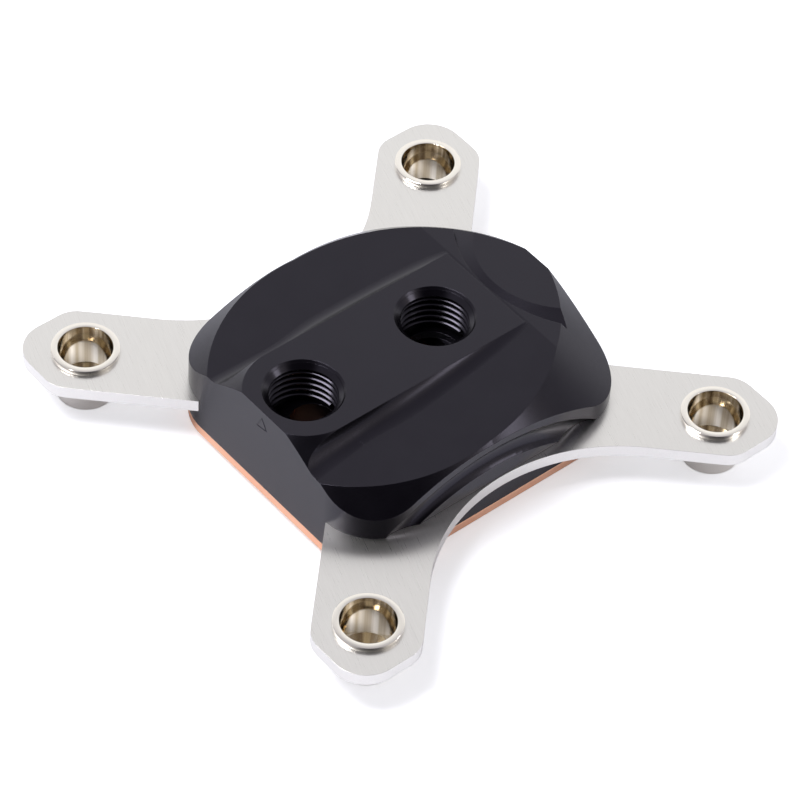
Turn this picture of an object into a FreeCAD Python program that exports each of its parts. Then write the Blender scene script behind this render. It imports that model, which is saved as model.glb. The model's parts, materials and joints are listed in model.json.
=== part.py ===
import FreeCAD, Part

import math
import os

# Liquid cooling cold plate for a processor, in millimetres.
# The origin is the centre of the copper underside, which is the cold face.
# +Z points up to the two hose ports, +X along the row of ports.

V = FreeCAD.Vector

# ---- Block footprint and levels ----
block_length = 58.8          # along X
block_width = 52.7           # along Y
block_corner_radius = 10.0   # upright corners of the cover and the copper plate
copper_thickness = 1.7
flange_thickness = 3.6       # lip of the cover under the brackets
slot_height = 2.4            # side slots that take the bracket halves
upper_height = 11.65         # cover above the slots, up to the port band
neck_width = 33.4            # cover left standing between the two slots

# ---- Hose ports ----
port_spacing = 28.0
outlet_offset = -21.04       # outlet axis along X
thread_major_diameter = 13.16
thread_depth = 9.0
port_mouth_diameter = 13.9   # wide end of the 45 degree chamfer

# ---- Milled top of the cover ----
band_width = 20.2            # flat band that carries the ports
facet_slope = 0.083          # fall of the side facets per millimetre towards -X
facet_meeting_x = 18.5       # where the facets come up level with the band
fading_step = 0.5            # the band's fillet ends this far before the facets meet the band
band_end_slope = 0.75        # fall per millimetre of the cone round the outlet
band_end_half_width = 12.1   # that cone's cut stops here, on the fillets at the band's foot
outlet_corner_radius = 26.2  # cones that chamfer the corners at the outlet end, at block top
outlet_corner_slope = 0.9
outlet_corner_axis = (-4.1, 2.4)
inlet_corner_radius = 31.9   # flatter curved cones at the inlet end
inlet_corner_slope = 0.97
inlet_corner_axis = (-0.6, 7.95)
corner_split_x = -2.5        # the two pairs of cones run into each other here
ridge_circle_radius = 24.1   # crisp upright edge of the crescent groove
ridge_circle_x = 42.3
crescent_circle_radius = 15.0
crescent_circle_x = 34.9
crescent_floor_slope = 0.286
arch_radius = 36.0           # arched grooves along the two long sides
arch_centre_x = -2.6
arch_centre_z = -22.5
arch_groove_radius = 2.8
arch_groove_depth = 1.2

# ---- Water chamber and seal ----
chamber_start_x = -22.8
chamber_end_x = 17.0
chamber_width = 30.0
chamber_corner_radius = 4.0
outlet_duct_radius = 4.0
inlet_duct_radius = 5.0
plenum_length = 17.0         # pocket over the jet plate, along X
plenum_centre_x = 2.5
plenum_width = 21.0
plenum_depth = 3.5
plenum_corner_radius = 3.0
seal_end_distance = 4.2      # seal line back from the end faces of the block
seal_side_distance = 2.6     # seal line outside the chamber wall
seal_corner_radius = 6.0
seal_width = 2.0
seal_height = 1.45           # squeezed height, which is the groove's depth
seal_edge_chamfer = 0.4
seal_groove_clearance = 0.15

# ---- Fins, jet plate and gasket ----
fin_field_length = 26.0      # along X, the way the water runs
fin_field_width = 25.0
fin_thickness = 0.45
fin_gap = 0.55
fin_height = 2.6
jet_plate_thickness = 0.4
jet_slot_width = 1.6
jet_slot_length = 20.0
gasket_thickness = 0.8
gasket_inset = 0.3           # gasket back from the jet plate's edge

# ---- Bracket halves ----
bracket_thickness = 2.35
bracket_neck_clearance = 0.1
arm_width = 18.0
bracket_waist_y = 26.45      # middle of the concave outer edge
hole_spacing = 75.0          # square mounting pattern
tip_land = 9.3               # sleeve axis to the trimmed tip
tip_corner_radius = 6.2
shoulder_radius = 5.0

# ---- Sleeves pressed into the arms ----
sleeve_bore_diameter = 9.37
sleeve_wall = 0.42
sleeve_flange_diameter = 11.68
sleeve_flange_thickness = 0.82
sleeve_length = 10.1
sleeve_clearance = 0.05
sleeve_edge_chamfer = 0.12

# ---- Countersunk screws through the copper plate ----
screws_per_side = 5
screw_pitch = 10.0
screw_thread_diameter = 3.0
screw_head_diameter = 5.5
screw_head_recess = 0.1
screw_length = 12.0
screw_land = 0.9             # seal groove to screw head
screw_hole_clearance = 0.2   # radial, in the copper and the brackets
screw_tap_clearance = 0.05   # radial, in the cover
screw_tip_room = 0.6
screw_socket_across = 2.0
screw_socket_depth = 0.9

# ---- Worked out from the sizes above ----
half_length = block_length / 2
half_width = block_width / 2
flange_top = copper_thickness + flange_thickness
slot_top = flange_top + slot_height
block_top = slot_top + upper_height
bracket_top = flange_top + bracket_thickness
neck_half = neck_width / 2
band_half = band_width / 2
inlet_offset = outlet_offset + port_spacing
thread_floor = block_top - thread_depth
mouth_chamfer_depth = (port_mouth_diameter - thread_major_diameter) / 2
chamber_top = copper_thickness + fin_height + jet_plate_thickness + gasket_thickness
chamber_half = chamber_width / 2
seal_half_x = half_length - seal_end_distance
seal_half_y = chamber_half + seal_side_distance
groove_width = seal_width + 2 * seal_groove_clearance
sleeve_tube_radius = sleeve_bore_diameter / 2 + sleeve_wall
screw_radius = screw_thread_diameter / 2
screw_head_radius = screw_head_diameter / 2
screw_row_y = seal_half_y + groove_width / 2 + screw_land + screw_head_radius
hole_half = hole_spacing / 2
cutter_reach = 2 * block_length   # longer than anything that a cutting tool has to cross


def rounded_block(x_low, x_high, half_y, corner, z_low, z_high):
    """Upright block, symmetric about Y, with its four upright edges rounded."""
    block = Part.makeBox(x_high - x_low, 2 * half_y, z_high - z_low, V(x_low, -half_y, z_low))
    upright = [edge for edge in block.Edges if abs(edge.tangentAt(edge.FirstParameter).z) > 0.5]
    return block.makeFillet(corner, upright)


def prism(points, direction):
    """Solid swept from the flat polygon through points along direction."""
    face = Part.Face(Part.makePolygon(points + points[:1]))
    return face.extrude(direction)


def screw_places():
    first_x = -screw_pitch * (screws_per_side - 1) / 2
    for side in (-1, 1):
        for index in range(screws_per_side):
            yield first_x + index * screw_pitch, side * screw_row_y


# ---- Cover ----

def facet_frame():
    """Placement whose floor is the side facets' plane, with its origin where they meet the band."""
    tilt = math.degrees(math.atan(facet_slope))
    return FreeCAD.Placement(V(facet_meeting_x, 0, block_top), FreeCAD.Rotation(V(0, 1, 0), -tilt))


def wall_wire(x, height):
    """Section of one half of the band at station x, with a quarter round as high as the step."""
    radius = -x * facet_slope
    bend = radius * (1 - math.sqrt(0.5))
    upper = V(x, band_half, radius)
    middle = V(x, band_half + bend, bend)
    foot = V(x, band_half + radius, 0)
    edges = [
        Part.LineSegment(V(x, 0, 0), V(x, 0, height)).toShape(),
        Part.LineSegment(V(x, 0, height), V(x, band_half, height)).toShape(),
        Part.LineSegment(V(x, band_half, height), upper).toShape(),
        Part.Arc(upper, middle, foot).toShape(),
        Part.LineSegment(foot, V(x, 0, 0)).toShape(),
    ]
    return Part.Wire(edges)


def band_solid():
    """Everything that stands above the facets, in the facet frame, a little taller than the cover."""
    far_x = -facet_meeting_x - half_length - 1
    height = 1 - far_x * facet_slope
    half = Part.makeLoft([wall_wire(far_x, height), wall_wire(-fading_step, height)], True, True)
    return half.fuse(half.mirror(V(0, 0, 0), V(0, 1, 0)))


def facet_cutter():
    """Removes the two side facets and leaves the band with the long fillets at its foot."""
    above = Part.makeBox(cutter_reach, 2 * cutter_reach, cutter_reach, V(-cutter_reach, -cutter_reach, 0))
    cutter = above.cut(band_solid())
    cutter.Placement = facet_frame()
    return cutter


def upright_cone(x, y, top_radius, slope):
    """Cone about an upright axis, as wide as top_radius at block top, down to the flange."""
    depth = block_top - flange_top
    foot = Part.makeCone(top_radius + depth / slope, top_radius, depth, V(x, y, flange_top))
    return foot.fuse(Part.makeCylinder(top_radius, 1, V(x, y, block_top)))


def band_end_cutter():
    """Rounds the band's end on a cone about the outlet."""
    width = 2 * band_end_half_width
    corner = V(outlet_offset - cutter_reach, -band_end_half_width, flange_top)
    box = Part.makeBox(cutter_reach, width, block_top - flange_top, corner)
    return box.cut(upright_cone(outlet_offset, 0, band_half, band_end_slope))


def corner_cutter(side, axis, top_radius, slope, x_range, inner_y):
    """Removes what lies outside a corner cone, on one side of the block."""
    low_y = inner_y if side > 0 else -cutter_reach
    corner = V(x_range[0], low_y, flange_top)
    depth = block_top - flange_top
    box = Part.makeBox(x_range[1] - x_range[0], cutter_reach - inner_y, depth, corner)
    return box.cut(upright_cone(axis[0], -side * axis[1], top_radius, slope))


def crescent_cutter():
    """Crescent groove at the inlet end: upright at its ridge, with a sloping floor."""
    depth = crescent_floor_slope * ridge_circle_radius
    low = block_top - depth
    ridge = Part.makeCylinder(ridge_circle_radius, 2 * depth, V(ridge_circle_x, 0, low))
    core_foot = crescent_circle_radius + ridge_circle_radius
    core = Part.makeCone(core_foot, crescent_circle_radius, depth, V(crescent_circle_x, 0, low))
    return ridge.cut(core)


def arch_cutter(side):
    """Arched groove of round section in a long side of the block."""
    centre_y = half_width + arch_groove_radius - arch_groove_depth
    centre = V(arch_centre_x, side * centre_y, arch_centre_z)
    return Part.makeTorus(arch_radius, arch_groove_radius, centre, V(0, 1, 0))


def slot_cutter(side):
    """Side slot, open at the long side and at both ends, that takes a bracket half."""
    depth = cutter_reach - neck_half
    low_y = neck_half if side > 0 else -cutter_reach
    return Part.makeBox(cutter_reach, depth, slot_height, V(-half_length - 1, low_y, flange_top))


def port_cutter(x):
    """Port bored to the thread's major diameter, with a chamfered mouth."""
    bore = Part.makeCylinder(thread_major_diameter / 2, thread_depth, V(x, 0, thread_floor))
    mouth = Part.makeCone(
        thread_major_diameter / 2, port_mouth_diameter / 2, mouth_chamfer_depth,
        V(x, 0, block_top - mouth_chamfer_depth))
    return bore.fuse(mouth)


def water_cutter():
    """Chamber over the fins, plenum over the jet plate, and the ducts up to the two ports."""
    chamber = rounded_block(
        chamber_start_x, chamber_end_x, chamber_half, chamber_corner_radius,
        copper_thickness, chamber_top)
    plenum = rounded_block(
        plenum_centre_x - plenum_length / 2, plenum_centre_x + plenum_length / 2,
        plenum_width / 2, plenum_corner_radius, chamber_top, chamber_top + plenum_depth)
    outlet_x = chamber_start_x + outlet_duct_radius
    outlet = Part.makeCylinder(
        outlet_duct_radius, thread_floor - chamber_top, V(outlet_x, 0, chamber_top))
    inlet_low = chamber_top + plenum_depth
    inlet = Part.makeCylinder(inlet_duct_radius, thread_floor - inlet_low, V(inlet_offset, 0, inlet_low))
    return chamber.fuse([plenum, outlet, inlet])


def seal_ring(width, height):
    """Flat ring of the given width that follows the seal line, standing on the copper plate."""
    rings = []
    for offset in (width / 2, -width / 2):
        rings.append(rounded_block(
            -seal_half_x - offset, seal_half_x + offset, seal_half_y + offset,
            seal_corner_radius + offset, copper_thickness, copper_thickness + height))
    return rings[0].cut(rings[1])


def screw_hole_cutter():
    """Holes for the base screws, through the flange and into the body above the slots."""
    low = copper_thickness
    high = screw_head_recess + screw_length + screw_tip_room
    radius = screw_radius + screw_tap_clearance
    holes = [Part.makeCylinder(radius, high - low, V(x, y, low)) for x, y in screw_places()]
    return holes[0].fuse(holes[1:])


def make_cover():
    cover = rounded_block(
        -half_length, half_length, half_width, block_corner_radius, copper_thickness, block_top)
    cutters = [facet_cutter(), band_end_cutter(), crescent_cutter()]
    for side in (-1, 1):
        cutters.append(corner_cutter(
            side, outlet_corner_axis, outlet_corner_radius, outlet_corner_slope,
            (-cutter_reach, corner_split_x), band_end_half_width))
        cutters.append(corner_cutter(
            side, inlet_corner_axis, inlet_corner_radius, inlet_corner_slope,
            (corner_split_x, cutter_reach), 0))
        cutters.append(arch_cutter(side))
        cutters.append(slot_cutter(side))
    cutters += [port_cutter(outlet_offset), port_cutter(inlet_offset), water_cutter()]
    cutters += [seal_ring(groove_width, seal_height), screw_hole_cutter()]
    for cutter in cutters:
        cover = cover.cut(cutter)
    return cover


# ---- Copper plate with its fins ----

def countersink(x, y):
    """Screw hole in the copper: recess, cone that seats the head, and hole for the shank."""
    hole_radius = screw_radius + screw_hole_clearance
    recess = Part.makeCylinder(screw_head_radius, screw_head_recess, V(x, y, 0))
    cone_height = screw_head_radius - hole_radius
    cone = Part.makeCone(screw_head_radius, hole_radius, cone_height, V(x, y, screw_head_recess))
    hole = Part.makeCylinder(hole_radius, copper_thickness, V(x, y, 0))
    return recess.fuse([cone, hole])


def make_cold_plate():
    plate = rounded_block(
        -half_length, half_length, half_width, block_corner_radius, 0, copper_thickness)
    for x, y in screw_places():
        plate = plate.cut(countersink(x, y))
    pitch = fin_thickness + fin_gap
    count = int((fin_field_width + fin_gap) // pitch)
    first_y = -(count * pitch - fin_gap) / 2
    fins = []
    for index in range(count):
        corner = V(-fin_field_length / 2, first_y + index * pitch, copper_thickness)
        fins.append(Part.makeBox(fin_field_length, fin_thickness, fin_height, corner))
    return plate.fuse(fins).removeSplitter()


# ---- Jet plate, gasket and seal ----

def plate_with_window(half_x, half_y, window, z_low, thickness):
    """Rectangular plate with a window given as (centre x, half x, half y)."""
    plate = Part.makeBox(2 * half_x, 2 * half_y, thickness, V(-half_x, -half_y, z_low))
    centre_x, window_x, window_y = window
    opening = Part.makeBox(
        2 * window_x, 2 * window_y, thickness, V(centre_x - window_x, -window_y, z_low))
    return plate.cut(opening)


def make_jet_plate():
    slot = (0, jet_slot_width / 2, jet_slot_length / 2)
    low = copper_thickness + fin_height
    return plate_with_window(fin_field_length / 2, fin_field_width / 2, slot, low, jet_plate_thickness)


def make_inlet_gasket():
    window = (plenum_centre_x, plenum_length / 2, plenum_width / 2)
    low = chamber_top - gasket_thickness
    half_x = fin_field_length / 2 - gasket_inset
    half_y = fin_field_width / 2 - gasket_inset
    return plate_with_window(half_x, half_y, window, low, gasket_thickness)


def make_main_seal():
    """Round cord seal, squeezed to the depth of its groove."""
    ring = seal_ring(seal_width, seal_height)
    flat = [edge for edge in ring.Edges if abs(edge.tangentAt(edge.FirstParameter).z) < 0.5]
    return ring.makeChamfer(seal_edge_chamfer, flat)


# ---- Brackets and sleeves ----

def bracket_outline():
    """Plan of the bracket half on the -Y side, with square tips and shoulders."""
    arm_edge = arm_width / math.sqrt(2)      # |x| - |y| along the edges of the arms
    inner_y = neck_half + bracket_neck_clearance
    tip = hole_half + tip_land
    waist_radius = (bracket_waist_y - arm_edge) / (math.sqrt(2) - 1)
    tangent_x = waist_radius / math.sqrt(2)
    corners = [
        V(-tangent_x, -tangent_x - arm_edge, 0),
        V(-tip + arm_edge, -tip, 0),
        V(-tip, -tip, 0),
        V(-tip, -tip + arm_edge, 0),
        V(-inner_y - arm_edge, -inner_y, 0),
    ]
    corners += [V(-corner.x, corner.y, 0) for corner in reversed(corners)]
    edges = [Part.LineSegment(a, b).toShape() for a, b in zip(corners, corners[1:])]
    edges.append(Part.Arc(corners[-1], V(0, -bracket_waist_y, 0), corners[0]).toShape())
    return Part.Face(Part.Wire(edges))


def upright_edges_at(shape, near, far):
    """Upright edges whose plan position, smaller and larger distance from the axes, is near, far."""
    found = []
    for edge in shape.Edges:
        place = edge.Vertexes[0].Point
        distances = sorted((abs(place.x), abs(place.y)))
        upright = abs(edge.tangentAt(edge.FirstParameter).z) > 0.5
        if upright and math.dist(distances, (near, far)) < 0.01:
            found.append(edge)
    return found


def make_bracket():
    bracket = bracket_outline().extrude(V(0, 0, bracket_thickness))
    tip = hole_half + tip_land
    shoulder = tip - arm_width / math.sqrt(2)
    bracket = bracket.makeFillet(tip_corner_radius, upright_edges_at(bracket, tip, tip))
    bracket = bracket.makeFillet(shoulder_radius, upright_edges_at(bracket, shoulder, tip))
    hole_radius = sleeve_tube_radius + sleeve_clearance
    for x in (-hole_half, hole_half):
        bracket = bracket.cut(Part.makeCylinder(hole_radius, bracket_thickness, V(x, -hole_half, 0)))
    hole_radius = screw_radius + screw_hole_clearance
    for x, y in screw_places():
        if y < 0:
            bracket = bracket.cut(Part.makeCylinder(hole_radius, bracket_thickness, V(x, y, 0)))
    bracket.translate(V(0, 0, flange_top))
    return bracket


def make_sleeve(x, y):
    """Flanged sleeve that stands in a bracket hole with its flange on the bracket."""
    bore = sleeve_bore_diameter / 2
    flange = sleeve_flange_diameter / 2
    top = bracket_top + sleeve_flange_thickness
    section = [
        V(bore, 0, top - sleeve_length),
        V(sleeve_tube_radius, 0, top - sleeve_length),
        V(sleeve_tube_radius, 0, bracket_top),
        V(flange, 0, bracket_top),
        V(flange, 0, top - sleeve_edge_chamfer),
        V(flange - sleeve_edge_chamfer, 0, top),
        V(bore + sleeve_edge_chamfer, 0, top),
        V(bore, 0, top - sleeve_edge_chamfer),
    ]
    face = Part.Face(Part.makePolygon(section + section[:1]))
    sleeve = face.revolve(V(0, 0, 0), V(0, 0, 1), 360)
    sleeve.translate(V(x, y, 0))
    return sleeve


# ---- Base screws ----

def make_base_screw(x, y):
    """Countersunk screw, head down, with a hexagon socket in its head."""
    low = screw_head_recess
    cone_height = screw_head_radius - screw_radius
    head = Part.makeCone(screw_head_radius, screw_radius, cone_height, V(0, 0, low))
    shank = Part.makeCylinder(screw_radius, screw_length, V(0, 0, low))
    corner_radius = screw_socket_across / math.sqrt(3)
    corners = []
    for index in range(6):
        angle = math.radians(60 * index)
        corners.append(V(corner_radius * math.cos(angle), corner_radius * math.sin(angle), low))
    socket = prism(corners, V(0, 0, screw_socket_depth))
    screw = head.fuse(shank).cut(socket)
    screw.translate(V(x, y, 0))
    return screw


# ---- Export ----

def main():
    bracket = make_bracket()
    nodes = {
        "cover": make_cover(),
        "cold_plate": make_cold_plate(),
        "jet_plate": make_jet_plate(),
        "inlet_gasket": make_inlet_gasket(),
        "main_seal": make_main_seal(),
        "bracket_front": bracket,
        "bracket_rear": bracket.mirror(V(0, 0, 0), V(0, 1, 0)),
    }
    for row, y in (("front", -hole_half), ("rear", hole_half)):
        for column, x in (("left", -hole_half), ("right", hole_half)):
            nodes["sleeve_" + row + "_" + column] = make_sleeve(x, y)
    for number, (x, y) in enumerate(screw_places(), 1):
        nodes["base_screw_" + str(number)] = make_base_screw(x, y)
    os.makedirs("parts", exist_ok=True)
    for name, shape in nodes.items():
        shape.exportStep("parts/" + name + ".step")
        print(name, "solids", len(shape.Solids), "valid", shape.isValid(), "volume", round(shape.Volume, 2))


main()
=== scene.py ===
import json
import math

import bmesh
import bpy
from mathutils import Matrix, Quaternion, Vector


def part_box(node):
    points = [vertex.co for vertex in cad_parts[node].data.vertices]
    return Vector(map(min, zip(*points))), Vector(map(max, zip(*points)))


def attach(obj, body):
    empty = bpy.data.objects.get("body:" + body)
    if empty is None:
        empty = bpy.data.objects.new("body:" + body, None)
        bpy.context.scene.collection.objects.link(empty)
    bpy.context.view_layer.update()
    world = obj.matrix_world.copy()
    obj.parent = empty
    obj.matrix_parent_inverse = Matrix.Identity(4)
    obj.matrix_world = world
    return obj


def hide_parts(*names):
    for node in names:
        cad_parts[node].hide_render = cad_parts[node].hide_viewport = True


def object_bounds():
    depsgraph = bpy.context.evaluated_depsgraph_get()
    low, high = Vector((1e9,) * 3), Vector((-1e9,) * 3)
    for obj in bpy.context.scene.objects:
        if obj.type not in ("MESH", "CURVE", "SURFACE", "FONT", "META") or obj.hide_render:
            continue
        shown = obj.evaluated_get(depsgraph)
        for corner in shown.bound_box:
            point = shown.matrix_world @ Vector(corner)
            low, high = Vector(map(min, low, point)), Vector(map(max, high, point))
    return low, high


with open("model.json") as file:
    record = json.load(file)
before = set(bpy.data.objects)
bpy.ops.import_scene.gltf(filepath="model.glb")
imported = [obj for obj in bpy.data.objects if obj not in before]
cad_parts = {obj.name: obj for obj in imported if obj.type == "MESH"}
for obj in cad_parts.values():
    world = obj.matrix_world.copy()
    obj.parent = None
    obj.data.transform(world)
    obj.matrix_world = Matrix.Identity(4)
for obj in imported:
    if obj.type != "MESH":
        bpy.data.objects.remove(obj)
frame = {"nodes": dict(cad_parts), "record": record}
cadBox = [list(corner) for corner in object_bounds()]
mm = 0.001
print("frame loaded")


def srgb(code, alpha=1.0):   # "#rrggbb" to linear
    parts = [int(code[i:i + 2], 16) / 255 for i in (1, 3, 5)]
    linear = [c / 12.92 if c <= 0.04045 else ((c + 0.055) / 1.055) ** 2.4 for c in parts]
    return (*linear, alpha)


def addNode(tree, kind, values=None, links=None, stops=(), **settings):
    node = tree.nodes.new(kind)
    for name, value in settings.items():
        setattr(node, name, value)
    for name, value in (values or {}).items():
        node.inputs[name].default_value = value
    for name, source in (links or {}).items():
        tree.links.new(source, node.inputs[name])
    while stops and len(node.color_ramp.elements) < len(stops):
        node.color_ramp.elements.new(0.5)
    for index, (position, code) in enumerate(stops):   # a ramp's stops are (position, "#rrggbb")
        node.color_ramp.elements[index].position = position
        node.color_ramp.elements[index].color = srgb(code)
    return node


# Camera, floor and light

camera = {
    "target": (-3.03, -3.72, 8.5),   # mm
    "distance": 685.18,              # mm
    "azimuth": -42.61,               # degrees, 0 looks along +Y
    "elevation": 46.98,
    "roll": 4.09,
    "lens": 185.08,
}


def placeCamera():
    data = bpy.data.cameras.new("camera")
    data.lens = camera["lens"]
    data.sensor_width = 36.0
    data.clip_start = 0.01
    data.clip_end = 20.0
    azimuth = math.radians(camera["azimuth"])
    elevation = math.radians(camera["elevation"])
    flat = math.cos(elevation)
    back = Vector((math.sin(azimuth) * flat, -math.cos(azimuth) * flat, math.sin(elevation)))
    item = bpy.data.objects.new("camera", data)
    item.location = Vector(camera["target"]) * mm + back * camera["distance"] * mm
    item.rotation_mode = "QUATERNION"
    roll = Quaternion((0, 0, 1), math.radians(camera["roll"]))
    item.rotation_quaternion = (-back).to_track_quat("-Z", "Y") @ roll
    bpy.context.scene.collection.objects.link(item)
    bpy.context.scene.camera = item


studio = {
    "room": "#f4f1f8",           # dim grey room
    "roomStrength": 0.50,
    "wall": "#ffffff",           # lit wall behind the object
    "wallStrength": 1.0,
    "wallCentre": (0.675, 0.735, 0.0),   # level direction from the lens past the object
    "wallSpread": (0.35, 0.65),  # how far round the wall reaches, as a cosine
    "wallTop": (0.66, 0.92),     # the wall fades out between these heights on a unit sphere
    "glow": "#fffaf4",           # soft reflector at the right
    "glowStrength": 0.75,
    "glowCentre": (0.46, -0.73, 0.50),
    "glowSpread": (0.84, 0.99),
    "lens": "#c8c4d0",           # dark surroundings of the lens
    "lensStrength": 0.05,
    "lensCentre": (-0.38, -0.64, 0.67),
    "lensSpread": (0.74, 0.94),
    "floor": "#eff0f7",
    "cameraLift": 0.49,          # what the lens sees on top of the lit floor
    "mirrorLift": 0.08,          # what reflections see on top of it
    "floorSize": 3.0,            # m
    "floorGap": 0.02,            # mm under the sleeves
    "keyWatts": 2.4,
    "keySize": 0.24,             # m
    "keyAim": (0, 0, 0.008),     # m
    "keyPlace": (-0.20, 0.11, 0.52),
    "cardWatts": 0.024,          # small card that draws the highlight along the band's foot
    "cardSize": 0.045,
    "cardAim": (0.017, -0.011, 0.018),
    "cardPlace": (0.095, -0.132, 0.106),
}


def lightWorld():
    world = bpy.data.worlds.new("whiteTent")
    world.use_nodes = True
    tree = world.node_tree
    tree.nodes.clear()
    place = addNode(tree, "ShaderNodeTexCoord").outputs["Generated"]
    height = addNode(tree, "ShaderNodeSeparateXYZ", links={"Vector": place}).outputs["Z"]
    light = addNode(tree, "ShaderNodeBackground",
                    {"Color": srgb(studio["room"]), "Strength": studio["roomStrength"]})
    for name in ("glow", "wall", "lens"):
        along = addNode(tree, "ShaderNodeVectorMath", {1: studio[name + "Centre"]}, {0: place},
                        operation="DOT_PRODUCT").outputs["Value"]
        start, end = studio[name + "Spread"]
        share = addNode(tree, "ShaderNodeMapRange", {"From Min": start, "From Max": end}, {"Value": along},
                        interpolation_type="SMOOTHSTEP").outputs["Result"]
        if name == "wall":
            start, end = studio["wallTop"]
            below = addNode(tree, "ShaderNodeMapRange",
                            {"From Min": start, "From Max": end, "To Min": 1.0, "To Max": 0.0},
                            {"Value": height}, interpolation_type="SMOOTHSTEP").outputs["Result"]
            share = addNode(tree, "ShaderNodeMath", links={0: share, 1: below},
                            operation="MULTIPLY").outputs[0]
        patch = addNode(tree, "ShaderNodeBackground",
                        {"Color": srgb(studio[name]), "Strength": studio[name + "Strength"]})
        light = addNode(tree, "ShaderNodeMixShader",
                        links={0: share, 1: light.outputs[0], 2: patch.outputs[0]})
    seen = addNode(tree, "ShaderNodeLightPath").outputs["Is Camera Ray"]
    white = addNode(tree, "ShaderNodeBackground", {"Color": srgb("#ffffff"), "Strength": 1.0})
    mix = addNode(tree, "ShaderNodeMixShader", links={0: seen, 1: light.outputs[0], 2: white.outputs[0]})
    addNode(tree, "ShaderNodeOutputWorld", links={"Surface": mix.outputs[0]})
    bpy.context.scene.world = world


def addSoftbox(name):
    data = bpy.data.lights.new(name + "Softbox", "AREA")
    data.shape = "SQUARE"
    data.size = studio[name + "Size"]
    data.energy = studio[name + "Watts"]
    place = Vector(studio[name + "Place"])
    item = bpy.data.objects.new(name + "Softbox", data)
    item.location = place
    item.rotation_mode = "QUATERNION"
    item.rotation_quaternion = (Vector(studio[name + "Aim"]) - place).to_track_quat("-Z", "Y")
    bpy.context.scene.collection.objects.link(item)


def layFloor():
    shape = bmesh.new()
    bmesh.ops.create_grid(shape, x_segments=1, y_segments=1, size=studio["floorSize"] / 2)
    bmesh.ops.translate(shape, verts=shape.verts, vec=(0, 0, cadBox[0][2] - studio["floorGap"] * mm))
    mesh = bpy.data.meshes.new("floor")
    shape.to_mesh(mesh)
    shape.free()
    material = bpy.data.materials.new("whitePaper")
    material.use_nodes = True
    tree = material.node_tree
    tree.nodes.clear()
    paper = addNode(tree, "ShaderNodeBsdfDiffuse", {"Color": srgb(studio["floor"])})
    path = addNode(tree, "ShaderNodeLightPath")
    mirror = addNode(tree, "ShaderNodeMath", {1: studio["mirrorLift"]}, {0: path.outputs["Is Glossy Ray"]},
                     operation="MULTIPLY")
    lift = addNode(tree, "ShaderNodeMath", {1: studio["cameraLift"]},
                   {0: path.outputs["Is Camera Ray"], 2: mirror.outputs[0]}, operation="MULTIPLY_ADD")
    glow = addNode(tree, "ShaderNodeEmission", {"Color": srgb("#ffffff")}, {"Strength": lift.outputs[0]})
    both = addNode(tree, "ShaderNodeAddShader", links={0: paper.outputs[0], 1: glow.outputs[0]})
    addNode(tree, "ShaderNodeOutputMaterial", links={"Surface": both.outputs[0]})
    mesh.materials.append(material)
    item = bpy.data.objects.new("floor", mesh)
    bpy.context.scene.collection.objects.link(item)


placeCamera()
lightWorld()
layFloor()
addSoftbox("key")
addSoftbox("card")
bpy.context.scene.view_settings.view_transform = "Standard"
print("studio ready")


# Materials

def newMaterial(name):
    material = bpy.data.materials.new(name)
    material.use_nodes = True
    tree = material.node_tree
    tree.nodes.clear()
    return material, tree


def finishMaterial(tree, shader):
    addNode(tree, "ShaderNodeOutputMaterial", links={"Surface": shader.outputs[0]})


reliefHeight = 0.01      # mm, height of each finish's relief at strength 1

acetal = {
    "colours": [(0.3, "#050407"), (0.8, "#09080c")],
    "sheen": "#ece6ff",  # tint of reflections
    "ior": 1.49,
    "roughness": (0.20, 0.28),
    "cutRoughness": (0.14, 0.22),   # inside the threads
    "cloud": 6.0,        # mm, patches of uneven gloss
    "grain": 0.12,       # mm, fine grain left by the cutter, drawn coarser than it is
    "relief": 0.10,      # strength, as in every finish
    "edge": 0.10,        # mm, broken edges
}


def blackMilledAcetal(name, roughness):   # milled acetal: satin black with a soft violet sheen
    material, tree = newMaterial(name)
    place = addNode(tree, "ShaderNodeTexCoord").outputs["Object"]
    cloud = addNode(tree, "ShaderNodeTexNoise",
                    {"Scale": 1 / (acetal["cloud"] * mm), "Detail": 3.0, "Roughness": 0.6},
                    {"Vector": place}).outputs["Fac"]
    colour = addNode(tree, "ShaderNodeValToRGB", links={"Fac": cloud},
                     stops=acetal["colours"]).outputs["Color"]
    grain = addNode(tree, "ShaderNodeTexNoise", {"Scale": 1 / (acetal["grain"] * mm), "Detail": 2.0},
                    {"Vector": place}).outputs["Fac"]
    gloss = addNode(tree, "ShaderNodeMapRange", {"To Min": roughness[0], "To Max": roughness[1]},
                    {"Value": cloud}).outputs[0]
    edge = addNode(tree, "ShaderNodeBevel", {"Radius": acetal["edge"] * mm}, samples=6)
    bump = addNode(tree, "ShaderNodeBump", {"Strength": acetal["relief"], "Distance": reliefHeight * mm},
                   {"Height": grain, "Normal": edge.outputs[0]})
    shader = addNode(tree, "ShaderNodeBsdfPrincipled",
                     {"IOR": acetal["ior"], "Specular Tint": srgb(acetal["sheen"])},
                     {"Base Color": colour, "Roughness": gloss, "Normal": bump.outputs[0]})
    finishMaterial(tree, shader)
    return material


stainless = {
    "colours": [(0.3, "#e7e5e2"), (0.7, "#f0eeeb")],
    "roughness": (0.24, 0.34),
    "grainWidth": 0.12,  # mm across the brushing, drawn coarser than it is so that it shows
    "grainLength": 5.0,  # mm along the brushing
    "grainTurn": 70.0,   # degrees from +X
    "relief": 0.05,
    "edge": 0.08,        # mm, broken edges
}


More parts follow.
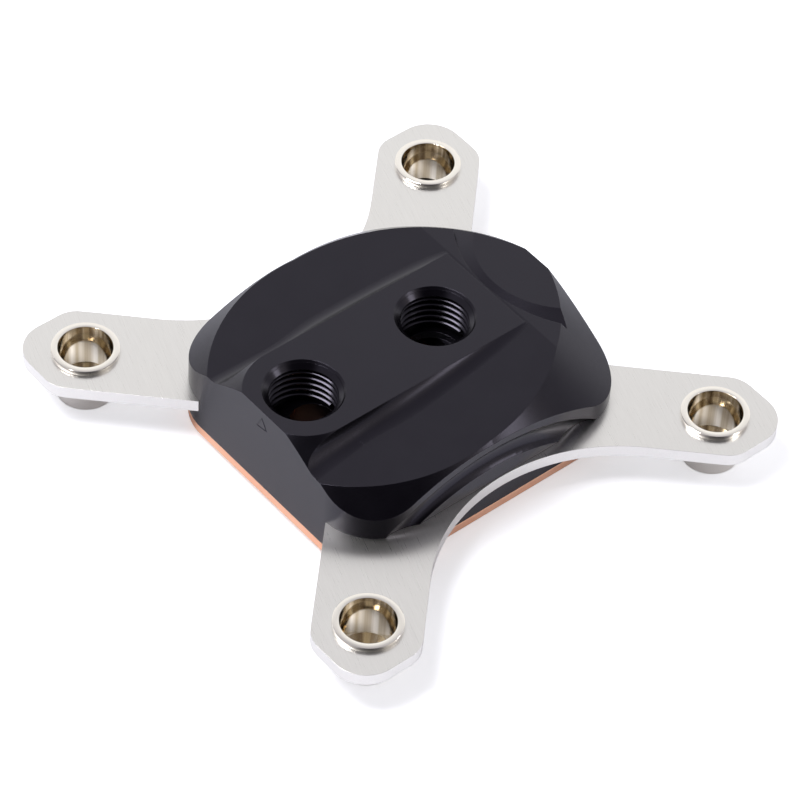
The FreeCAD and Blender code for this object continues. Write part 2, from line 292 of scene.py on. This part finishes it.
def brushedStainless():   # fine brushed stainless: long thin scratches that spread light across them
    material, tree = newMaterial("brushedStainless")
    place = addNode(tree, "ShaderNodeTexCoord").outputs["Object"]
    turn = math.radians(-stainless["grainTurn"])
    turned = addNode(tree, "ShaderNodeMapping", {"Rotation": (0, 0, turn)}, {"Vector": place})
    along, across = 1 / (stainless["grainLength"] * mm), 1 / (stainless["grainWidth"] * mm)
    stretched = addNode(tree, "ShaderNodeMapping", {"Scale": (along, across, across)},
                        {"Vector": turned.outputs[0]})
    grain = addNode(tree, "ShaderNodeTexNoise", {"Scale": 1.0, "Detail": 4.0, "Roughness": 0.65},
                    {"Vector": stretched.outputs[0]}).outputs["Fac"]
    colour = addNode(tree, "ShaderNodeValToRGB", links={"Fac": grain},
                     stops=stainless["colours"]).outputs["Color"]
    low, high = stainless["roughness"]
    gloss = addNode(tree, "ShaderNodeMapRange", {"To Min": low, "To Max": high},
                    {"Value": grain}).outputs[0]
    edge = addNode(tree, "ShaderNodeBevel", {"Radius": stainless["edge"] * mm}, samples=6)
    bump = addNode(tree, "ShaderNodeBump", {"Strength": stainless["relief"], "Distance": reliefHeight * mm},
                   {"Height": grain, "Normal": edge.outputs[0]})
    shader = addNode(tree, "ShaderNodeBsdfPrincipled", {"Metallic": 1.0},
                     {"Base Color": colour, "Roughness": gloss, "Normal": bump.outputs[0]})
    finishMaterial(tree, shader)
    return material


nickel = {
    "colour": "#f7f2ea",
    "paintedBoreReflections": [(0.36, "#7d6b54"), (0.50, "#c0b299"), (0.62, "#fffaf0")],   # painted reflections: dark and bright streaks painted into the bore's colour, drawn along the bore
    "paintedReflectionWidth": 0.75, # width of the painted reflections, as a share of the bore's radius
    "roughness": (0.05, 0.14),
    "spread": 0.8,       # how far the bore's turning stretches reflections across its rings
    "turning": 0.16,     # mm between turned rings, drawn coarser than they are
    "relief": 0.10,
    "boreEdge": 4.72,    # mm radius, the painted reflections stay inside it
    "axis": 37.5,        # mm, each sleeve's axis from the block's centre along X and Y
}


def turnedNickel():   # nickel plate over turned brass: warm mirror with fine rings, and a bore with painted reflections streaked into its colour
    material, tree = newMaterial("turnedNickel")
    place = addNode(tree, "ShaderNodeTexCoord").outputs["Object"]
    axis = nickel["axis"] * mm
    folded = addNode(tree, "ShaderNodeVectorMath", links={0: place}, operation="ABSOLUTE").outputs[0]
    local = addNode(tree, "ShaderNodeVectorMath", {1: (axis, axis, 0)}, {0: folded},
                    operation="SUBTRACT").outputs[0]
    flat = addNode(tree, "ShaderNodeVectorMath", {1: (1, 1, 0)}, {0: local},
                   operation="MULTIPLY").outputs[0]
    radius = addNode(tree, "ShaderNodeVectorMath", links={0: flat}, operation="LENGTH").outputs["Value"]
    height = addNode(tree, "ShaderNodeSeparateXYZ", links={"Vector": place}).outputs["Z"]
    along = addNode(tree, "ShaderNodeMath", links={0: radius, 1: height}, operation="ADD").outputs[0]
    rings = addNode(tree, "ShaderNodeTexNoise",
                    {"Scale": 1 / (nickel["turning"] * mm), "Detail": 3.0, "Roughness": 0.6},
                    {"W": along}, noise_dimensions="1D").outputs["Fac"]
    signs = addNode(tree, "ShaderNodeVectorMath", links={0: place}, operation="SIGN").outputs[0]
    outward = addNode(tree, "ShaderNodeVectorMath", links={0: flat, 1: signs},
                      operation="MULTIPLY").outputs[0]
    facing = addNode(tree, "ShaderNodeVectorMath", links={0: outward}, operation="NORMALIZE").outputs[0]
    # painted reflections: noise around each sleeve's axis paints dark and bright streaks into the bore's
    # colour
    drawn = addNode(tree, "ShaderNodeTexNoise", {"Scale": 1 / nickel["paintedReflectionWidth"], "Detail": 4.0},
                    {"Vector": facing}).outputs["Fac"]
    paintedBoreReflections = addNode(tree, "ShaderNodeValToRGB", links={"Fac": drawn},
                      stops=nickel["paintedBoreReflections"]).outputs["Color"]
    outside = addNode(tree, "ShaderNodeMath", {1: nickel["boreEdge"] * mm}, {0: radius},
                      operation="GREATER_THAN").outputs[0]
    colour = addNode(tree, "ShaderNodeMix", {"B": srgb(nickel["colour"])},
                     {"Factor": outside, "A": paintedBoreReflections}, data_type="RGBA").outputs["Result"]
    low, high = nickel["roughness"]
    gloss = addNode(tree, "ShaderNodeMapRange", {"To Min": low, "To Max": high},
                    {"Value": rings}).outputs[0]
    bump = addNode(tree, "ShaderNodeBump", {"Strength": nickel["relief"], "Distance": reliefHeight * mm},
                   {"Height": rings})
    around = addNode(tree, "ShaderNodeVectorMath", {0: (0, 0, 1)}, {1: outward},
                     operation="CROSS_PRODUCT").outputs[0]
    spread = addNode(tree, "ShaderNodeMapRange", {"To Min": nickel["spread"], "To Max": 0.0},
                     {"Value": outside}).outputs[0]
    shader = addNode(tree, "ShaderNodeBsdfPrincipled", {"Metallic": 1.0},
                     {"Anisotropic": spread, "Base Color": colour, "Roughness": gloss,
                      "Normal": bump.outputs[0], "Tangent": around})
    finishMaterial(tree, shader)
    return material


copper = {
    "colours": [(0.25, "#f9bc99"), (0.75, "#ffcdae")],
    "roughness": (0.34, 0.46),
    "cloud": 9.0,        # mm, patches of uneven tarnish
    "lineLength": 12.0,  # mm along the lapping lines
    "lapping": 0.10,     # mm between lapping lines
    "relief": 0.08,
    "edge": 0.30,        # mm, broken edges
}


def lappedCopper():   # bare copper, machined edge and lapped face: warm, softly mirrored, faint lines
    material, tree = newMaterial("lappedCopper")
    place = addNode(tree, "ShaderNodeTexCoord").outputs["Object"]
    along, across = 1 / (copper["lineLength"] * mm), 1 / (copper["lapping"] * mm)
    stretched = addNode(tree, "ShaderNodeMapping", {"Scale": (along, across, across)},
                        {"Vector": place})
    lines = addNode(tree, "ShaderNodeTexNoise", {"Scale": 1.0, "Detail": 3.0},
                    {"Vector": stretched.outputs[0]}).outputs["Fac"]
    cloud = addNode(tree, "ShaderNodeTexNoise", {"Scale": 1 / (copper["cloud"] * mm), "Detail": 2.0},
                    {"Vector": place}).outputs["Fac"]
    colour = addNode(tree, "ShaderNodeValToRGB", links={"Fac": cloud},
                     stops=copper["colours"]).outputs["Color"]
    low, high = copper["roughness"]
    gloss = addNode(tree, "ShaderNodeMapRange", {"To Min": low, "To Max": high},
                    {"Value": lines}).outputs[0]
    edge = addNode(tree, "ShaderNodeBevel", {"Radius": copper["edge"] * mm}, samples=6)
    bump = addNode(tree, "ShaderNodeBump", {"Strength": copper["relief"], "Distance": reliefHeight * mm},
                   {"Height": lines, "Normal": edge.outputs[0]})
    shader = addNode(tree, "ShaderNodeBsdfPrincipled", {"Metallic": 1.0},
                     {"Base Color": colour, "Roughness": gloss, "Normal": bump.outputs[0]})
    finishMaterial(tree, shader)
    return material


steel = {
    "colours": [(0.3, "#8d8d8f"), (0.7, "#a9a9ab")],
    "roughness": (0.22, 0.40),
    "speckle": 0.4,      # mm, uneven tone
}


def passivatedSteel():   # passivated steel of screws and jet plate: grey, a little rough, speckled
    material, tree = newMaterial("passivatedSteel")
    place = addNode(tree, "ShaderNodeTexCoord").outputs["Object"]
    speckle = addNode(tree, "ShaderNodeTexNoise", {"Scale": 1 / (steel["speckle"] * mm), "Detail": 3.0},
                      {"Vector": place}).outputs["Fac"]
    colour = addNode(tree, "ShaderNodeValToRGB", links={"Fac": speckle},
                     stops=steel["colours"]).outputs["Color"]
    low, high = steel["roughness"]
    gloss = addNode(tree, "ShaderNodeMapRange", {"To Min": low, "To Max": high},
                    {"Value": speckle}).outputs[0]
    shader = addNode(tree, "ShaderNodeBsdfPrincipled", {"Metallic": 1.0},
                     {"Base Color": colour, "Roughness": gloss})
    finishMaterial(tree, shader)
    return material


rubber = {
    "silicone": [(0.3, "#7a2418"), (0.7, "#94301f")],
    "nitrile": [(0.3, "#0d0d0e"), (0.7, "#161617")],
    "cloud": 0.8,        # mm, uneven tone
    "relief": 0.10,
    "ior": 1.45,
    "roughness": 0.6,
}


def mouldedRubber(name, kind):   # moulded elastomer: matt, faintly clouded
    material, tree = newMaterial(name)
    place = addNode(tree, "ShaderNodeTexCoord").outputs["Object"]
    cloud = addNode(tree, "ShaderNodeTexNoise", {"Scale": 1 / (rubber["cloud"] * mm), "Detail": 3.0},
                    {"Vector": place}).outputs["Fac"]
    colour = addNode(tree, "ShaderNodeValToRGB", links={"Fac": cloud},
                     stops=rubber[kind]).outputs["Color"]
    bump = addNode(tree, "ShaderNodeBump", {"Strength": rubber["relief"], "Distance": reliefHeight * mm},
                   {"Height": cloud})
    shader = addNode(tree, "ShaderNodeBsdfPrincipled",
                     {"IOR": rubber["ior"], "Roughness": rubber["roughness"]},
                     {"Base Color": colour, "Normal": bump.outputs[0]})
    finishMaterial(tree, shader)
    return material


def dress():
    plainSteel = passivatedSteel()
    bySlot = {
        "black_acetal": blackMilledAcetal("blackMilledAcetal", acetal["roughness"]),
        "cutAcetal": blackMilledAcetal("blackCutAcetal", acetal["cutRoughness"]),
        "bare_copper": lappedCopper(),
        "brushed_stainless": brushedStainless(),
        "nickel_plate": turnedNickel(),
        "screw_steel": plainSteel,
        "stainless_sheet": plainSteel,
        "silicone": mouldedRubber("redSilicone", "silicone"),
        "black_rubber": mouldedRubber("nitrileRubber", "nitrile"),
    }
    for part in frame["record"]["subparts"]:
        item = frame["nodes"][part["node"]]
        item.data.materials.clear()
        item.data.materials.append(bySlot[part["material_slot"]])
    return bySlot


materials = dress()
print("materials ready")


# Threads in the two ports

def addPiece(name, shape, material):   # turns a bmesh in mm into a finished object
    bmesh.ops.recalc_face_normals(shape, faces=shape.faces[:])
    bmesh.ops.scale(shape, vec=(mm, mm, mm), verts=shape.verts[:])
    mesh = bpy.data.meshes.new(name)
    shape.to_mesh(mesh)
    shape.free()
    mesh.materials.append(material)
    item = bpy.data.objects.new(name, mesh)
    bpy.context.scene.collection.objects.link(item)
    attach(item, "root")
    return item


def smoothWide(item, angle):   # smooth shading, with edges sharper than angle kept crisp
    mesh = item.data
    mesh.shade_smooth()
    mesh.set_sharp_from_angle(angle=math.radians(angle))


thread = {
    "major": 6.62,       # mm radius, a touch into the bore's wall
    "minor": 5.72,
    "pitch": 1.337,
    "crest": 0.20,       # mm, width of the crest
    "round": 0.05,       # mm, rounding of the crest
    "flank": 27.5,       # degrees
    "mouth": 6.95,       # mm radius of the chamfered mouth at the port's face
    "floorRoom": 0.7,    # mm from the bore's floor to the first thread
    "mouthGap": 0.01,    # mm, the first turn stays this far under the mouth's cone
    "stepsPerTurn": 96,
    "sharp": 25,         # degrees, crisper edges stay sharp
}


def cutThread(name, mount):
    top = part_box("cover")[1].z / mm
    x = mount["pos_m"][0] / mm
    pitch = thread["pitch"]
    first = mount["pos_m"][2] / mm - mount["dims"]["length_mm"] + thread["floorRoom"] + pitch / 2
    turns = (top - first) / pitch
    crest = thread["crest"] / 2
    root = crest + (thread["major"] - thread["minor"]) * math.tan(math.radians(thread["flank"]))
    bevel = thread["round"]
    half = [(thread["major"], root), (thread["minor"] + bevel, crest + bevel / 2),
            (thread["minor"], crest - bevel)]
    outline = half + [(r, -z) for r, z in reversed(half)]
    shape = bmesh.new()
    shape.faces.new([shape.verts.new((x + r, 0, first + z)) for r, z in outline])
    steps = round(turns * thread["stepsPerTurn"])
    bmesh.ops.spin(shape, geom=shape.faces[:] + shape.edges[:] + shape.verts[:], cent=(x, 0, 0),
                   axis=(0, 0, 1), dvec=(0, 0, turns * pitch / steps), angle=turns * 2 * math.pi,
                   steps=steps, use_merge=False)
    bmesh.ops.holes_fill(shape, edges=shape.edges[:], sides=len(outline))
    for vert in shape.verts:   # the mouth's cone cuts the first turn away
        radius = math.hypot(vert.co.x - x, vert.co.y)
        vert.co.z = min(vert.co.z, top - (thread["mouth"] - radius) - thread["mouthGap"])
    item = addPiece(name, shape, materials["cutAcetal"])
    smoothWide(item, thread["sharp"])


for port in frame["record"]["mounts"]:
    if port["kind"] == "threaded_hole":
        cutThread("thread_" + port["name"], port)
print("threads cut")


# Fillets at the band's foot

bandFoot = {
    "half": 10.1,        # mm, half the band's width
    "slope": 0.083,      # fall of the facets for each mm along X
    "meeting": 18.5,     # mm along X, where the facets reach the band
    "radius": 4.0,       # mm, the whole fillet, more than the step is high anywhere
    "start": -19.0,      # mm along X, where the cover's own fillet takes over
    "full": -8.0,        # mm along X, from here on the fillet has its whole radius
    "end": 18.2,
    "sections": 60,
    "arcSteps": 16,
    "sunk": 0.4,         # mm, kept inside the cover
    "under": 0.02,       # mm, the inner edge stays this far under the band
    "sharp": 25,         # degrees, crisper edges stay sharp
}


def fillBandFoot(name, side):
    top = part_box("cover")[1].z / mm
    foot = bandFoot
    inner = foot["half"] - foot["sunk"]
    shape = bmesh.new()
    rings = []
    for index in range(foot["sections"] + 1):
        x = foot["start"] + (foot["end"] - foot["start"]) * index / foot["sections"]
        step = foot["slope"] * (foot["meeting"] - x)
        share = min(1.0, (x - foot["start"]) / (foot["full"] - foot["start"]))
        radius = step + (foot["radius"] - step) * share * share * (3 - 2 * share)
        sweep = math.acos(1 - step / radius)
        centre = foot["half"] + radius * math.sin(sweep)
        points = []
        for part in range(foot["arcSteps"] + 1):
            angle = sweep * (1 - part / foot["arcSteps"])
            points.append((centre - radius * math.sin(angle), radius * (1 - math.cos(angle))))
        points += [(centre, -foot["sunk"]), (inner, -foot["sunk"]), (inner, step - foot["under"])]
        verts = [shape.verts.new((x, side * y, top - step + z)) for y, z in points]
        rings.append([shape.edges.new(pair) for pair in zip(verts, verts[1:] + verts[:1])])
    for before, after in zip(rings, rings[1:]):
        bmesh.ops.bridge_loops(shape, edges=before + after)
    bmesh.ops.holes_fill(shape, edges=rings[0] + rings[-1], sides=len(points))
    item = addPiece(name, shape, materials["black_acetal"])
    smoothWide(item, foot["sharp"])


for name, side in (("band_fillet_front", -1), ("band_fillet_rear", 1)):
    fillBandFoot(name, side)
print("band fillets laid")


# Flow mark beside the outlet

flowMark = {   # hollow triangle, its tip up
    "corners": [(1.55, 15.17), (0.38, 17.67), (-0.88, 15.57)],   # mm, y and z on the end face
    "width": 0.22,       # mm, foot of the ridge
    "height": 0.07,
    "sunk": 0.02,        # mm, kept inside the cover
}


def raiseFlowMark():
    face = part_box("cover")[0].x / mm
    corners = [Vector(corner) for corner in flowMark["corners"]]
    opposite = [(corners[i - 2] - corners[i - 1]).length for i in range(3)]
    around = sum(opposite)
    weighted = [corner * length for corner, length in zip(corners, opposite)]
    centre = sum(weighted, Vector((0, 0))) / around
    inscribed = abs((corners[1] - corners[0]).cross(corners[2] - corners[0])) / around
    share = flowMark["width"] / 2 / inscribed
    shape = bmesh.new()
    rings = []
    foot, ridge = flowMark["sunk"], -flowMark["height"]
    for scale, x in ((1 + share, foot), (1, ridge), (1 - share, foot)):
        places = [centre + (corner - centre) * scale for corner in corners]
        verts = [shape.verts.new((face + x, *place)) for place in places]
        rings.append([shape.edges.new(pair) for pair in zip(verts, verts[1:] + verts[:1])])
    for before, after in zip(rings, rings[1:] + rings[:1]):
        bmesh.ops.bridge_loops(shape, edges=before + after)
    addPiece("flow_mark", shape, materials["cutAcetal"])


raiseFlowMark()
print("flow mark raised")


# Sleeves

sleeve = {
    "bore": 4.685,        # mm radii
    "tube": 5.105,
    "flange": 5.84,
    "flangeThickness": 0.82,
    "outerRound": 0.14,
    "innerRound": 0.05,
    "lip": 3.4,           # the bore narrows to this radius at its foot
    "lipHeight": 0.30,
    "narrowing": 1.6,     # the cone above the lip ends at this height
    "steps": 128,
    "sharp": 12,          # degrees, crisper edges stay sharp
}


def roundedProfile(corners, segments=4):   # corners are (r, z, rounding), rounded ones are square
    points = []
    for index, (r, z, rounding) in enumerate(corners):
        here = Vector((r, z))
        if not rounding:
            points.append(here)
            continue
        before = (Vector(corners[index - 1][:2]) - here).normalized()
        after = (Vector(corners[(index + 1) % len(corners)][:2]) - here).normalized()
        centre = here + (before + after) * rounding
        for step in range(segments + 1):
            angle = math.pi / 2 * step / segments
            points.append(centre - after * rounding * math.cos(angle) - before * rounding * math.sin(angle))
    return points


def turnSleeve(node):
    low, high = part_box(node)
    x, y = (low.x + high.x) / 2 / mm, (low.y + high.y) / 2 / mm
    bottom, top = low.z / mm, high.z / mm
    seat = top - sleeve["flangeThickness"]
    outer, inner = sleeve["outerRound"], sleeve["innerRound"]
    corners = [
        (sleeve["bore"], bottom + sleeve["narrowing"], 0),
        (sleeve["lip"], bottom + sleeve["lipHeight"], 0), (sleeve["lip"], bottom, 0),
        (sleeve["tube"], bottom, outer), (sleeve["tube"], seat, 0),
        (sleeve["flange"], seat, inner), (sleeve["flange"], top, outer), (sleeve["bore"], top, inner),
    ]
    shape = bmesh.new()
    verts = [shape.verts.new((x + r, y, z)) for r, z in roundedProfile(corners)]
    edges = [shape.edges.new((a, b)) for a, b in zip(verts, verts[1:] + verts[:1])]
    bmesh.ops.spin(shape, geom=verts + edges, cent=(x, y, 0), axis=(0, 0, 1), dvec=(0, 0, 0),
                   angle=2 * math.pi, steps=sleeve["steps"], use_merge=True)
    item = addPiece(node + "_turned", shape, materials["nickel_plate"])
    smoothWide(item, sleeve["sharp"])
    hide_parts(node)


for part in frame["record"]["subparts"]:
    if part["material_slot"] == "nickel_plate":
        turnSleeve(part["node"])
print("sleeves turned")
